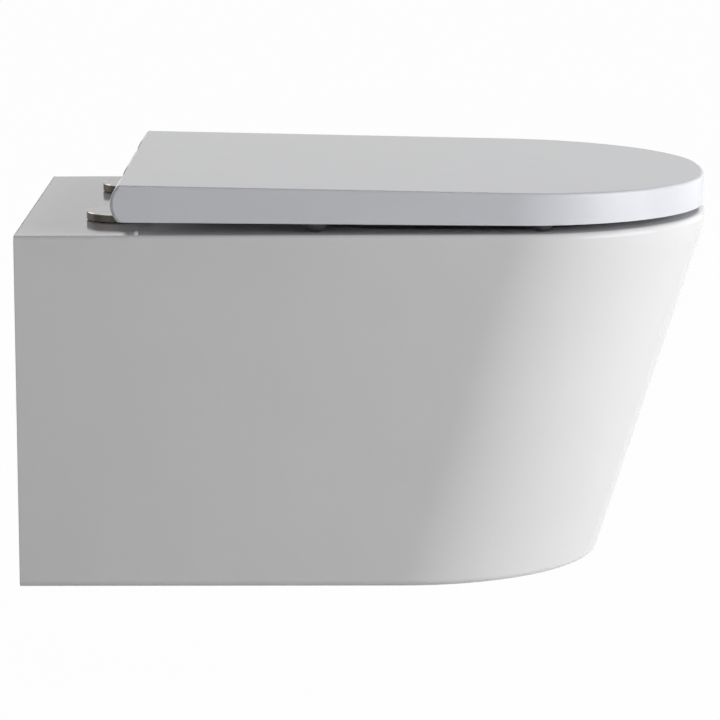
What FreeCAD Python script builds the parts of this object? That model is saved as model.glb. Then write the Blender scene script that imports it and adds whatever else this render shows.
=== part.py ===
import FreeCAD, Part
import math
import os

# Wall-hung toilet: a skirted ceramic pan on hidden wall fixings, with a wrap-over lid and a
# seat that share one quick-release, soft-closing hinge.
# Frame, in millimetres: X across, +Y towards the wall, +Z up. The origin is the middle of the
# two wall bolts on the wall's face, so the wall is the plane y = 0 and the nose is at -Y.
# Heights and drops in the names count from those bolts unless they say otherwise.

Vector = FreeCAD.Vector
X_AXIS = Vector(1, 0, 0)
Y_AXIS = Vector(0, 1, 0)
Z_AXIS = Vector(0, 0, 1)

# ---- pan, outside -------------------------------------------------------------------------
PAN_WIDTH = 360.0
PAN_PROJECTION = 540.0
PAN_HEIGHT = 275.0
RIM_HEIGHT = 90.0
NOSE_SHOULDER_R = 157.0
NOSE_FRONT_R = 295.0
NOSE_LEAN_DEG = 17.95
NOSE_TOP_R = 64.0
RIM_EDGE_R = 4.5
FOOT_EDGE_R = 5.0

# ---- pan, inside --------------------------------------------------------------------------
SIDE_WALL = 12.0
DECK_THICKNESS = 14.0
FLOOR_THICKNESS = 12.0
BACK_PLATE = 14.0
BACK_OPENING_WIDTH = 280.0
BACK_OPENING_SILL = 14.0
BACK_OPENING_CORNER_R = 20.0
BASIN_WALL = 12.0
BASIN_FRONT_CENTRE = 362.0
BASIN_FRONT_R = 143.0
BASIN_BACK_CENTRE = 305.0
BASIN_BACK_R = 138.0
BASIN_LIP_R = 6.0
SUMP_FRONT_CENTRE = 258.0
SUMP_FRONT_R = 28.0
SUMP_BACK_CENTRE = 248.0
SUMP_BACK_R = 26.0
SUMP_BELOW_TRAP = 2.0
SUMP_BOTTOM_WALL = 9.0
BOWL_JOINT_HEIGHT = 22.0
BASIN_STATIONS = (-0.02, 0.0, 0.1, 0.24, 0.4, 0.56, 0.72, 0.87, 1.0)
BASIN_RIM_POWER = 1.8
BASIN_FOOT_POWER = 1.6

# ---- trapway, waste outlet and flush inlet ------------------------------------------------
OUTLET_DROP = 100.0
TRAP_BORE_R = 27.0
TRAP_WALL = 7.5
TRAP_BEND_R = 36.0
TRAP_INTAKE_DROP = 33.0
OUTLET_BEND_TO_WALL = 51.0
SPIGOT_R = 51.0
SPIGOT_BORE_R = 42.0
SPIGOT_RECESS = 12.0
SPIGOT_LENGTH = 40.0
SPIGOT_CONE = 14.0
INLET_HEIGHT = 35.0
INLET_BORE_R = 27.5
INLET_LENGTH = 48.0
INLET_WALL = 9.0
CHANNEL_MOUTH_R = 18.0
CHANNEL_MOUTH_HEIGHT = 55.0
CHANNEL_MOUTH_LENGTH = 24.0

# ---- hidden wall fixing -------------------------------------------------------------------
BOLT_SPACING = 180.0
STUD_HOLE_R = 6.75
BRACKET_WIDTH = 50.0
BRACKET_PLATE = 4.0
BRACKET_DROP = 28.0
TONGUE_HEIGHT = 54.0
TONGUE_LENGTH = 100.0
GUSSET_T = 3.0
GUSSET_REACH = 84.0
GUSSET_DROP = 58.0
FIXING_BOLT_R = 5.0
FIXING_COLLAR_R = 8.7
FIXING_COLLAR_LENGTH = 26.0
FIXING_FLANGE_R = 13.0
FIXING_FLANGE_T = 2.5
FIXING_FLANGE_RECESS = 3.0
FIXING_TAIL = 10.0
SPACER_R = 17.0
NUT_ACROSS_FLATS = 16.0
NUT_HEIGHT = 8.0
FIT_CLEARANCE = 0.3
CUT_OVERRUN = 1.0
SNUG = 0.02
BOLT_HOLE_CLEARANCE = 0.3

# ---- hinge --------------------------------------------------------------------------------
HINGE_SPACING = 170.0
HINGE_HOLE_FROM_WALL = 75.0
HINGE_AXIS_FROM_WALL = 93.5
HINGE_AXIS_RISE = 24.0
GASKET_R = 21.0
GASKET_BORE_R = 13.5
GASKET_T = 1.5
BASE_R = 24.5
BASE_T = 4.6
DISC_R = 26.0
DISC_WALL = 1.2
DISC_ABOVE_DECK = 1.0
DISC_EDGE_R = 0.8
POST_R = 4.5
POST_SHANK_R = 3.5
POST_HEIGHT = 9.5
POST_GROOVE_R = 3.6
POST_GROOVE_ABOVE_DISC = 5.6
POST_CHAMFER = 0.8
POST_CLEARANCE = 0.1
SCREW_R = 2.5
SCREW_HEAD_R = 5.5
SCREW_HEAD_T = 2.6
SCREW_LENGTH = 27.0
SCREW_SLOT_WIDTH = 1.0
SCREW_SLOT_DEPTH = 1.2
HOUSING_LENGTH = 40.0
BARREL_R = 8.6
BARREL_EDGE_R = 0.8
BLOCK_WIDTH = 26.0
BLOCK_FRONT = 9.5
BLOCK_BACK = 6.4
BLOCK_CORNER_R = 3.0
BLOCK_ABOVE_DISC = 0.6
DAMPER_R = 6.0
DAMPER_LENGTH = 30.0
DAMPER_BORE_R = 3.2
DAMPER_BORE_DEPTH = 24.0
SHAFT_R = 4.0
SHAFT_FLAT = 3.0
SHAFT_LENGTH = 14.0
RUNNING_CLEARANCE = 0.05
PIN_R = 3.5
PIN_IN_HOUSING = 8.0
PIN_LENGTH = 22.0
PIN_CHAMFER = 0.5
BUSH_WALL = 1.5
KNUCKLE_LENGTH = 16.0
KNUCKLE_R = 7.6
KNUCKLE_GAP = 0.6
CLIP_WIRE_R = 0.6
CLIP_SLOT_CLEARANCE = 0.1
BUTTON_R = 3.4
BUTTON_STICKS_OUT = 2.4
BUTTON_LENGTH = 7.0
BUTTON_COLLAR_R = 4.0
BUTTON_COLLAR_T = 1.2
BUTTON_EDGE_R = 0.6
SPRING_R = 2.4
SPRING_WIRE_R = 0.3
SPRING_TURNS = 3.0
SPRING_SEAT = 0.5

# ---- lid ----------------------------------------------------------------------------------
LID_NOSE_INSET = 1.5
LID_SHOULDER_INSET = 4.0
LID_REAR_INSET = 1.5
LID_TOP_ABOVE_AXIS = 14.4
LID_TOP_SLOPE = 0.0232
LID_SIDE_HEIGHT = 28.2
LID_BOTTOM_SLOPE = 0.0119
LID_REAR_R = 19.5
LID_WALL = 5.0
LID_TOP_T = 5.0
LID_TOP_EDGE_R = 2.6
LID_LIP_ROOT = 0.5
LID_LIP_DROP_DEG = 12.0
LID_NOTCH_DEG = 46.0
LID_WEB_BACK = 4.5

# ---- seat ---------------------------------------------------------------------------------
SEAT_SIDE_GAP = 1.8
SEAT_TOP_GAP = 2.3
SEAT_ABOVE_LID_EDGE = 1.5
SEAT_OPENING_FRONT_CENTRE = 372.0
SEAT_OPENING_FRONT_R = 108.0
SEAT_OPENING_BACK_CENTRE = 305.0
SEAT_OPENING_BACK_R = 98.0
SEAT_INNER_EDGE_R = 6.0
SEAT_OUTER_EDGE_R = 3.0
SEAT_LOWER_EDGE_R = 1.5
NOTCH_FROM_AXIS = 21.0
NOTCH_SIDE_GAP = 1.5
NOTCH_CORNER_R = 4.0
PAD_R = 8.5
PAD_STUB_R = 3.0
PAD_STUB_LENGTH = 5.0
PAD_CROWN = 6.0
PAD_REST_GAP = 0.3
PAD_REAR_FROM_WALL = 230.5
PAD_FRONT_FROM_WALL = 405.0
PAD_FROM_SIDE = 24.0
LID_PAD_R = 6.0
LID_PAD_EDGE_R = 0.8
LID_PAD_STUB_LENGTH = 3.0
LID_PAD_REAR_FROM_WALL = 175.0
LID_PAD_FRONT_FROM_WALL = 440.0
LID_PAD_FROM_SIDE = 48.0

# ---- flush diffuser -----------------------------------------------------------------------
DIFFUSER_TUBE_WALL = 2.2
DIFFUSER_TUBE_LENGTH = 22.0
SHIELD_WIDTH = 62.0
SHIELD_HEIGHT = 30.0
SHIELD_T = 3.0
SHIELD_STANDOFF = 9.0
SHIELD_RIB_T = 3.0
SHIELD_RIB_HEIGHT = 10.0
SHIELD_CORNER_R = 10.0

# ---- worked out ---------------------------------------------------------------------------
RIM_Z = RIM_HEIGHT
FOOT_Z = RIM_Z - PAN_HEIGHT
HALF_WIDTH = PAN_WIDTH / 2
NOSE_LEAN = math.radians(NOSE_LEAN_DEG)
DECK_UNDERSIDE_Z = RIM_Z - DECK_THICKNESS
OUTLET_Z = -OUTLET_DROP
INTAKE_Z = OUTLET_Z - TRAP_INTAKE_DROP
SUMP_Z = INTAKE_Z - TRAP_BORE_R - SUMP_BELOW_TRAP
HINGE_X = HINGE_SPACING / 2
NOTCH_OVERHANG = KNUCKLE_GAP + KNUCKLE_LENGTH + NOTCH_SIDE_GAP
AXIS_Y = -HINGE_AXIS_FROM_WALL
AXIS_Z = RIM_Z + HINGE_AXIS_RISE
BASE_Z = RIM_Z + GASKET_T
BASE_TOP_Z = BASE_Z + BASE_T
DISC_TOP_Z = BASE_TOP_Z + DISC_WALL
LID_CUT_REACH = 3 * LID_REAR_R
SIDES = (("left", -1), ("right", 1))

# ---- how close counts as the same when edges are picked -----------------------------------
SAME_PLACE = 1e-3
SAME_DIRECTION = 1e-6
NEAR_WIRE = 0.5


def d_outline(nose, half_width, rear_half_width, rear, inset, z):
    """Closed D-shaped wire: two side lines, two shoulder arcs and one front arc, all tangent.

    An inset moves every edge inwards by the same amount, because the arcs keep their centres.
    """
    shoulder_x = half_width - NOSE_SHOULDER_R
    front_y = nose - NOSE_FRONT_R
    shoulder_y = front_y + math.sqrt((NOSE_FRONT_R - NOSE_SHOULDER_R) ** 2 - shoulder_x ** 2)
    across = rear_half_width - shoulder_x
    along = rear - shoulder_y
    side = math.atan2(along, across) + math.acos(NOSE_SHOULDER_R / math.hypot(across, along))
    front = math.atan2(shoulder_y - front_y, shoulder_x)
    shoulder_r = NOSE_SHOULDER_R - inset

    def on_shoulder(angle, mirror):
        x = shoulder_x + shoulder_r * math.cos(angle)
        return Vector(mirror * x, -(shoulder_y + shoulder_r * math.sin(angle)), z)

    rear_x = shoulder_x + (shoulder_r - along * math.sin(side)) / math.cos(side)
    middle = (side + front) / 2
    nose_point = Vector(0, -(nose - inset), z)
    right_rear = Vector(rear_x, -rear, z)
    left_rear = Vector(-rear_x, -rear, z)
    return Part.Wire([
        Part.LineSegment(right_rear, on_shoulder(side, 1)).toShape(),
        Part.Arc(on_shoulder(side, 1), on_shoulder(middle, 1), on_shoulder(front, 1)).toShape(),
        Part.Arc(on_shoulder(front, 1), nose_point, on_shoulder(front, -1)).toShape(),
        Part.Arc(on_shoulder(front, -1), on_shoulder(middle, -1), on_shoulder(side, -1)).toShape(),
        Part.LineSegment(on_shoulder(side, -1), left_rear).toShape(),
        Part.LineSegment(left_rear, right_rear).toShape(),
    ])


def egg_outline(front_centre, front_r, back_centre, back_r, z):
    """Closed wire round two circles on the centre line, joined by their outer tangents."""
    lean = math.asin((front_r - back_r) / (front_centre - back_centre))
    c, s = math.cos(lean), math.sin(lean)
    front_right = Vector(front_r * c, -(front_centre - front_r * s), z)
    back_right = Vector(back_r * c, -(back_centre - back_r * s), z)
    front_left = Vector(-front_right.x, front_right.y, z)
    back_left = Vector(-back_right.x, back_right.y, z)
    front_point = Vector(0, -(front_centre + front_r), z)
    back_point = Vector(0, -(back_centre - back_r), z)
    return Part.Wire([
        Part.Arc(front_right, front_point, front_left).toShape(),
        Part.LineSegment(front_left, back_left).toShape(),
        Part.Arc(back_left, back_point, back_right).toShape(),
        Part.LineSegment(back_right, front_right).toShape(),
    ])


def prism(wire, height):
    return prism_along(wire, Vector(0, 0, height))


def prism_along(wire, travel):
    return Part.Face(wire).extrude(travel)


def cylinder(radius, start, direction, length):
    return Part.makeCylinder(radius, length, start, direction)


def block(x0, x1, y0, y1, z0, z1):
    return Part.makeBox(x1 - x0, y1 - y0, z1 - z0, Vector(x0, y0, z0))


def upright_edges(shape):
    """Straight edges that run along Z."""
    return [e for e in shape.Edges if isinstance(e.Curve, Part.Line)
            and abs(abs(e.tangentAt(e.FirstParameter).z) - 1) < SAME_DIRECTION]


def nose_setback(depth):
    """How far the nose has drawn back towards the wall at a depth below the rim."""
    arc_depth = NOSE_TOP_R * math.sin(NOSE_LEAN)
    if depth <= arc_depth:
        return NOSE_TOP_R - math.sqrt(NOSE_TOP_R ** 2 - depth ** 2)
    arc_setback = NOSE_TOP_R * (1 - math.cos(NOSE_LEAN))
    return arc_setback + (depth - arc_depth) * math.tan(NOSE_LEAN)


def pan_section(depth, inset, rear):
    nose = PAN_PROJECTION - nose_setback(depth)
    return d_outline(nose, HALF_WIDTH, HALF_WIDTH, rear, inset, RIM_Z - depth)


def pan_outside():
    """The D outline carried down the nose's profile without turning, then cut at the wall."""
    overrun = nose_setback(PAN_HEIGHT) + CUT_OVERRUN
    arc_depth = NOSE_TOP_R * math.sin(NOSE_LEAN)
    stations = [arc_depth * share for share in (0, 1 / 3, 2 / 3, 1)]
    upper = Part.makeLoft([pan_section(depth, 0, -overrun) for depth in stations], True, False)
    lower = prism_along(pan_section(arc_depth, 0, -overrun),
                        Vector(0, nose_setback(PAN_HEIGHT) - nose_setback(arc_depth), arc_depth - PAN_HEIGHT))
    behind_wall = block(-PAN_WIDTH, PAN_WIDTH, 0, PAN_PROJECTION, FOOT_Z - CUT_OVERRUN, RIM_Z + CUT_OVERRUN)
    return upper.fuse(lower).cut(behind_wall)


def pan_cavity():
    """The hollow between skirt, deck, floor and back plate, with its opening in the back."""
    top_depth = DECK_THICKNESS
    foot_depth = PAN_HEIGHT - FLOOR_THICKNESS
    upper = pan_section(top_depth, SIDE_WALL, BACK_PLATE)
    bend_depth = max(top_depth + CUT_OVERRUN, NOSE_TOP_R * math.sin(NOSE_LEAN))
    bend = pan_section(bend_depth, SIDE_WALL, BACK_PLATE)
    lower = pan_section(foot_depth, SIDE_WALL, BACK_PLATE)
    hollow = Part.makeLoft([upper, bend], True, True).fuse(Part.makeLoft([bend, lower], True, True))
    half = BACK_OPENING_WIDTH / 2
    opening = block(-half, half, -BACK_PLATE - CUT_OVERRUN, CUT_OVERRUN, FOOT_Z + BACK_OPENING_SILL,
                    DECK_UNDERSIDE_Z)
    corners = [e for e in opening.Edges if abs(abs(e.tangentAt(e.FirstParameter).y) - 1) < SAME_DIRECTION]
    return hollow.fuse(opening.makeFillet(BACK_OPENING_CORNER_R, corners))


def basin(wall):
    """The bowl as one smooth funnel: egg sections that shrink from the rim to the sump."""
    depth = RIM_Z - SUMP_Z
    sections = []
    for station in BASIN_STATIONS:
        share = (1 - max(station, 0) ** BASIN_RIM_POWER) ** BASIN_FOOT_POWER
        sections.append(egg_outline(
            SUMP_FRONT_CENTRE + (BASIN_FRONT_CENTRE - SUMP_FRONT_CENTRE) * share,
            SUMP_FRONT_R + (BASIN_FRONT_R - SUMP_FRONT_R) * share + wall,
            SUMP_BACK_CENTRE + (BASIN_BACK_CENTRE - SUMP_BACK_CENTRE) * share,
            SUMP_BACK_R + (BASIN_BACK_R - SUMP_BACK_R) * share + wall,
            RIM_Z - station * depth))
    funnel = Part.makeLoft(sections, True, False)
    if wall:
        funnel = funnel.fuse(prism(sections[-1], -SUMP_BOTTOM_WALL))
    return funnel


def trapway(radius):
    """A round passage: back from the sump, up the leg, over the weir and down to the outlet."""
    bend = TRAP_BEND_R
    outlet_y = -OUTLET_BEND_TO_WALL
    weir_y = outlet_y - 2 * bend
    intake_y = weir_y - 2 * bend
    top_z = OUTLET_Z + bend
    diagonal = bend * math.sqrt(0.5)

    def at(y, z):
        return Vector(0, y, z)

    intake = at(-SUMP_BACK_CENTRE, INTAKE_Z)
    intake_end = at(intake_y, INTAKE_Z)
    leg_start = at(weir_y - bend, INTAKE_Z + bend)
    leg_end = at(weir_y - bend, top_z)
    fall_start = at(weir_y + bend, top_z)
    outlet = at(outlet_y, OUTLET_Z)
    spigot_end = at(-SPIGOT_RECESS - SPIGOT_LENGTH, OUTLET_Z)
    path = Part.Wire([
        Part.LineSegment(intake, intake_end).toShape(),
        Part.Arc(intake_end, at(intake_y + diagonal, INTAKE_Z + bend - diagonal), leg_start).toShape(),
        Part.LineSegment(leg_start, leg_end).toShape(),
        Part.Arc(leg_end, at(weir_y, top_z + bend), fall_start).toShape(),
        Part.Arc(fall_start, at(outlet_y - diagonal, top_z - diagonal), outlet).toShape(),
    ])
    start = Part.Face(Part.Wire(Part.makeCircle(radius, intake, Y_AXIS)))
    run_out = cylinder(radius, outlet, Y_AXIS, OUTLET_BEND_TO_WALL - SPIGOT_RECESS)
    return path.makePipe(start).fuse(run_out)


def spigot_outside():
    start = Vector(0, -SPIGOT_RECESS - SPIGOT_LENGTH, OUTLET_Z)
    return cylinder(SPIGOT_R, start, Y_AXIS, SPIGOT_LENGTH)


def spigot_bore():
    mouth_length = SPIGOT_LENGTH - SPIGOT_CONE - TRAP_WALL
    cone_start = Vector(0, -SPIGOT_RECESS - mouth_length - SPIGOT_CONE, OUTLET_Z)
    mouth_start = Vector(0, -SPIGOT_RECESS - mouth_length, OUTLET_Z)
    cone = Part.makeCone(TRAP_BORE_R, SPIGOT_BORE_R, SPIGOT_CONE, cone_start, Y_AXIS)
    return cone.fuse(cylinder(SPIGOT_BORE_R, mouth_start, Y_AXIS, mouth_length + CUT_OVERRUN))


def flush_way(wall):
    """The flush water's way: a round socket, a rising tapered channel and a level mouth."""
    socket_end = -SPIGOT_RECESS - INLET_LENGTH
    basin_back = -(BASIN_BACK_CENTRE - BASIN_BACK_R)
    mouth_start = basin_back + CHANNEL_MOUTH_LENGTH
    socket = cylinder(INLET_BORE_R + wall, Vector(0, socket_end, INLET_HEIGHT), Y_AXIS, INLET_LENGTH)
    wide = Part.Wire(Part.makeCircle(INLET_BORE_R + wall, Vector(0, socket_end, INLET_HEIGHT), Y_AXIS))
    narrow_centre = Vector(0, mouth_start, CHANNEL_MOUTH_HEIGHT)
    narrow = Part.Wire(Part.makeCircle(CHANNEL_MOUTH_R + wall, narrow_centre, Y_AXIS))
    channel = Part.makeLoft([wide, narrow], True, True)
    overrun = 0 if wall else BASIN_WALL
    mouth = cylinder(CHANNEL_MOUTH_R + wall, narrow_centre, -Y_AXIS, CHANNEL_MOUTH_LENGTH + overrun)
    return socket.fuse([channel, mouth])


def deck_hole(side):
    """Stepped hole for a fixing bolt: a shallow seat for its flange and a bore for its collar."""
    centre = Vector(side * HINGE_X, -HINGE_HOLE_FROM_WALL, 0)
    bore_r = FIXING_COLLAR_R + FIT_CLEARANCE
    seat_r = FIXING_FLANGE_R + FIT_CLEARANCE
    bore = cylinder(bore_r, centre + Z_AXIS * (DECK_UNDERSIDE_Z - CUT_OVERRUN), Z_AXIS,
                    DECK_THICKNESS + 2 * CUT_OVERRUN)
    seat = cylinder(seat_r, centre + Z_AXIS * (RIM_Z - FIXING_FLANGE_RECESS), Z_AXIS,
                    FIXING_FLANGE_RECESS + CUT_OVERRUN)
    return bore.fuse(seat)


def edges_at_height(shape, z, test):
    """Edges that lie in the level plane at z and whose middle point passes a test."""
    found = []
    for edge in shape.Edges:
        box = edge.BoundBox
        middle = edge.valueAt((edge.FirstParameter + edge.LastParameter) / 2)
        if abs(box.ZMin - z) < SAME_PLACE and abs(box.ZMax - z) < SAME_PLACE and test(middle):
            found.append(edge)
    return found


def off_the_wall(point):
    return point.y < -SAME_PLACE


def basin_rim():
    return egg_outline(BASIN_FRONT_CENTRE, BASIN_FRONT_R, BASIN_BACK_CENTRE, BASIN_BACK_R, RIM_Z)


def level_slab(z0, z1):
    """All that the pan holds between two heights."""
    return block(-PAN_WIDTH, PAN_WIDTH, -PAN_PROJECTION, 0, z0, z1)


def above_bowl():
    """The deck's thickness and what lies over it, where the bowl and the channel stop."""
    return level_slab(DECK_UNDERSIDE_Z, RIM_Z + PAN_HEIGHT)


def pan():
    """Outer body: skirt, floor, back plate and deck, open at the basin's mouth and at the back."""
    outside = pan_outside().Solids[0]
    outside = outside.makeFillet(RIM_EDGE_R, edges_at_height(outside, RIM_Z, off_the_wall))
    outside = outside.makeFillet(FOOT_EDGE_R, edges_at_height(outside, FOOT_Z, off_the_wall))
    body = outside.cut([pan_cavity(), basin(0)] + [deck_hole(side) for _, side in SIDES]).Solids[0]
    rim = basin_rim()
    lip = edges_at_height(body, RIM_Z, lambda p: Part.Vertex(p).distToShape(rim)[0] < NEAR_WIRE)
    return body.makeFillet(BASIN_LIP_R, lip)


def bowl_wall():
    """All of the bowl that hangs under the deck, with the ways in and out of it."""
    return basin(BASIN_WALL).cut([above_bowl(), basin(0), trapway(TRAP_BORE_R), flush_way(0)])


def bowl_ring():
    """The bowl's wide upper part, from the deck down to the joint with its funnel."""
    return bowl_wall().cut(level_slab(FOOT_Z, BOWL_JOINT_HEIGHT)).Solids[0]


def bowl():
    """The bowl's funnel, from the joint down to the sump."""
    return bowl_wall().cut(level_slab(BOWL_JOINT_HEIGHT, RIM_Z)).Solids[0]


def trap():
    """The water trap behind the bowl, from the sump over the weir to the waste spigot."""
    outside = trapway(TRAP_BORE_R + TRAP_WALL).fuse(spigot_outside())
    return outside.cut([basin(BASIN_WALL), trapway(TRAP_BORE_R), spigot_bore()]).Solids[0]


def flush_channel():
    """The flush inlet's socket and the channel from it to the back of the bowl."""
    return flush_way(INLET_WALL).cut([above_bowl(), basin(BASIN_WALL), flush_way(0)]).Solids[0]


# ---- hidden wall fixing: the pan hangs on two steel angles that bolt to the wall studs ------

def wall_bracket(side):
    """Folded angle: a plate against the wall with the stud hole, a tongue and two gussets."""
    x0 = side * BOLT_SPACING / 2 - BRACKET_WIDTH / 2
    x1 = x0 + BRACKET_WIDTH
    tongue_z = TONGUE_HEIGHT - BRACKET_PLATE
    plate = block(x0, x1, -BRACKET_PLATE, 0, -BRACKET_DROP, TONGUE_HEIGHT)
    tongue = block(x0, x1, -TONGUE_LENGTH, 0, tongue_z, TONGUE_HEIGHT)
    gussets = []
    for x in (x0, x1 - GUSSET_T):
        corners = [Vector(x, 0, tongue_z), Vector(x, -GUSSET_REACH, tongue_z),
                   Vector(x, 0, tongue_z - GUSSET_DROP)]
        gussets.append(Part.Face(Part.makePolygon(corners + corners[:1])).extrude(X_AXIS * GUSSET_T))
    body = plate.fuse([tongue] + gussets).removeSplitter()
    stud = Vector(side * BOLT_SPACING / 2, CUT_OVERRUN, 0)
    bolt = Vector(side * HINGE_X, -HINGE_HOLE_FROM_WALL, tongue_z - CUT_OVERRUN)
    through = BRACKET_PLATE + 2 * CUT_OVERRUN
    return body.cut([cylinder(STUD_HOLE_R, stud, -Y_AXIS, through),
                     cylinder(FIXING_BOLT_R + BOLT_HOLE_CLEARANCE, bolt, Z_AXIS, through)])


def fixing_bolt(side):
    """Bolt from the deck down through the tongue: flange, centring collar, shank, tapped head."""
    centre = Vector(side * HINGE_X, -HINGE_HOLE_FROM_WALL, 0)
    seat_z = RIM_Z - FIXING_FLANGE_RECESS
    tail_z = TONGUE_HEIGHT - BRACKET_PLATE - NUT_HEIGHT - FIXING_TAIL
    flange = cylinder(FIXING_FLANGE_R, centre + Z_AXIS * seat_z, Z_AXIS, FIXING_FLANGE_T)
    collar = cylinder(FIXING_COLLAR_R, centre + Z_AXIS * (seat_z - FIXING_COLLAR_LENGTH), Z_AXIS,
                      FIXING_COLLAR_LENGTH)
    shank = cylinder(FIXING_BOLT_R, centre + Z_AXIS * tail_z, Z_AXIS, seat_z - tail_z)
    tapping = cylinder(SCREW_R, centre + Z_AXIS * (BASE_TOP_Z - SCREW_LENGTH), Z_AXIS, SCREW_LENGTH)
    return flange.fuse([collar, shank]).removeSplitter().cut(tapping)


def bracket_spacer(side):
    """Plastic sleeve that carries the deck on the tongue and lets the bolt's collar centre in it."""
    base = Vector(side * HINGE_X, -HINGE_HOLE_FROM_WALL, TONGUE_HEIGHT)
    height = DECK_UNDERSIDE_Z - TONGUE_HEIGHT
    sleeve = cylinder(SPACER_R, base, Z_AXIS, height)
    return sleeve.cut(cylinder(FIXING_COLLAR_R + FIT_CLEARANCE, base, Z_AXIS, height))


def bracket_nut(side):
    """Weld nut under the tongue."""
    top = TONGUE_HEIGHT - BRACKET_PLATE
    corner_r = NUT_ACROSS_FLATS / math.sqrt(3)
    base = Vector(side * HINGE_X, -HINGE_HOLE_FROM_WALL, top - NUT_HEIGHT)
    corners = [base + Vector(corner_r * math.cos(k * math.pi / 3), corner_r * math.sin(k * math.pi / 3), 0)
               for k in range(7)]
    hexagon = prism(Part.makePolygon(corners), NUT_HEIGHT)
    return hexagon.cut(cylinder(FIXING_BOLT_R, base, Z_AXIS, NUT_HEIGHT))


# ---- flush diffuser -------------------------------------------------------------------------

def flush_diffuser():
    """Plastic insert in the channel's mouth: a tube, and a shield that turns the water sideways."""
    basin_back = -(BASIN_BACK_CENTRE - BASIN_BACK_R)
    tube_start = Vector(0, basin_back + DIFFUSER_TUBE_LENGTH, CHANNEL_MOUTH_HEIGHT)
    tube_r = CHANNEL_MOUTH_R - FIT_CLEARANCE
    tube = cylinder(tube_r, tube_start, -Y_AXIS, DIFFUSER_TUBE_LENGTH)
    tube = tube.cut(cylinder(tube_r - DIFFUSER_TUBE_WALL, tube_start, -Y_AXIS, DIFFUSER_TUBE_LENGTH))
    shield_back = basin_back - SHIELD_STANDOFF
    half_w, half_h = SHIELD_WIDTH / 2, SHIELD_HEIGHT / 2
    centre_z = CHANNEL_MOUTH_HEIGHT
    shield = block(-half_w, half_w, shield_back - SHIELD_T, shield_back,
                   centre_z - half_h, centre_z + half_h)
    corners = [e for e in shield.Edges if abs(abs(e.tangentAt(e.FirstParameter).y) - 1) < SAME_DIRECTION]
    shield = shield.makeFillet(SHIELD_CORNER_R, corners)
    ribs = []
    rib_outer = tube_r - DIFFUSER_TUBE_WALL / 2
    for x in (-rib_outer, rib_outer - SHIELD_RIB_T):
        ribs.append(block(x, x + SHIELD_RIB_T, shield_back, basin_back + DIFFUSER_TUBE_WALL,
                          centre_z - SHIELD_RIB_HEIGHT / 2, centre_z + SHIELD_RIB_HEIGHT / 2))
    return tube.fuse([shield] + ribs).removeSplitter()


# ---- hinge, fixed half: gasket, base, post, screw and the chrome disc over them --------------

def hinge_centre(side, z):
    return Vector(side * HINGE_X, -HINGE_HOLE_FROM_WALL, z)


def post_centre(side, z):
    return Vector(side * HINGE_X, AXIS_Y, z)


def groove_z():
    return DISC_TOP_Z + POST_GROOVE_ABOVE_DISC


def hinge_gasket(side):
    ring = cylinder(GASKET_R, hinge_centre(side, RIM_Z), Z_AXIS, GASKET_T)
    return ring.cut(cylinder(GASKET_BORE_R, hinge_centre(side, RIM_Z), Z_AXIS, GASKET_T))


def hinge_base(side):
    """Cast base: a round plate with a countersunk screw hole and, off its centre, the post's hole."""
    plate = cylinder(BASE_R, hinge_centre(side, BASE_Z), Z_AXIS, BASE_T)
    post_hole = cylinder(POST_SHANK_R, post_centre(side, BASE_Z), Z_AXIS, BASE_T)
    screw_hole = cylinder(SCREW_R + BOLT_HOLE_CLEARANCE, hinge_centre(side, BASE_Z), Z_AXIS, BASE_T)
    sink = Part.makeCone(SCREW_R + BOLT_HOLE_CLEARANCE, SCREW_HEAD_R + BOLT_HOLE_CLEARANCE, SCREW_HEAD_T,
                         hinge_centre(side, BASE_TOP_Z - SCREW_HEAD_T), Z_AXIS)
    return plate.cut([post_hole, screw_hole, sink])


def hinge_post(side):
    """Turned post, riveted into the base by its shank, with a groove for the clip."""
    height = DISC_WALL + POST_HEIGHT
    post = cylinder(POST_R, post_centre(side, BASE_TOP_Z), Z_AXIS, height)
    post = post.makeChamfer(POST_CHAMFER, edges_at_height(post, BASE_TOP_Z + height, lambda p: True))
    groove_height = 2 * CLIP_WIRE_R + 2 * CLIP_SLOT_CLEARANCE
    low = groove_z() - groove_height / 2
    groove = cylinder(POST_R + CUT_OVERRUN, post_centre(side, low), Z_AXIS, groove_height)
    groove = groove.cut(cylinder(POST_GROOVE_R, post_centre(side, low), Z_AXIS, groove_height))
    shank = cylinder(POST_SHANK_R - SNUG, post_centre(side, BASE_Z), Z_AXIS, BASE_T)
    return post.cut(groove).fuse(shank)


def hinge_screw(side):
    """Countersunk screw that ties the hinge base to the fixing bolt."""
    head = Part.makeCone(SCREW_R, SCREW_HEAD_R, SCREW_HEAD_T,
                         hinge_centre(side, BASE_TOP_Z - SCREW_HEAD_T), Z_AXIS)
    shank = cylinder(SCREW_R, hinge_centre(side, BASE_TOP_Z - SCREW_LENGTH), Z_AXIS, SCREW_LENGTH)
    slot = block(-SCREW_HEAD_R, SCREW_HEAD_R, -SCREW_SLOT_WIDTH / 2, SCREW_SLOT_WIDTH / 2,
                 0, SCREW_SLOT_DEPTH)
    slot.translate(hinge_centre(side, BASE_TOP_Z - SCREW_SLOT_DEPTH))
    return head.fuse(shank).removeSplitter().cut(slot)


def hinge_disc(side):
    """Chrome cap over the base: a shallow cup, pierced by the post."""
    low = RIM_Z + DISC_ABOVE_DECK
    cup = cylinder(DISC_R, hinge_centre(side, low), Z_AXIS, DISC_TOP_Z - low)
    cup = cup.makeFillet(DISC_EDGE_R, edges_at_height(cup, DISC_TOP_Z, lambda p: True))
    inside = cylinder(DISC_R - DISC_WALL, hinge_centre(side, low), Z_AXIS, BASE_TOP_Z - low)
    pierce = cylinder(POST_R + FIT_CLEARANCE, post_centre(side, BASE_Z), Z_AXIS,
                      BASE_T + DISC_WALL + CUT_OVERRUN)
    return cup.cut([inside, pierce])


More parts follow.
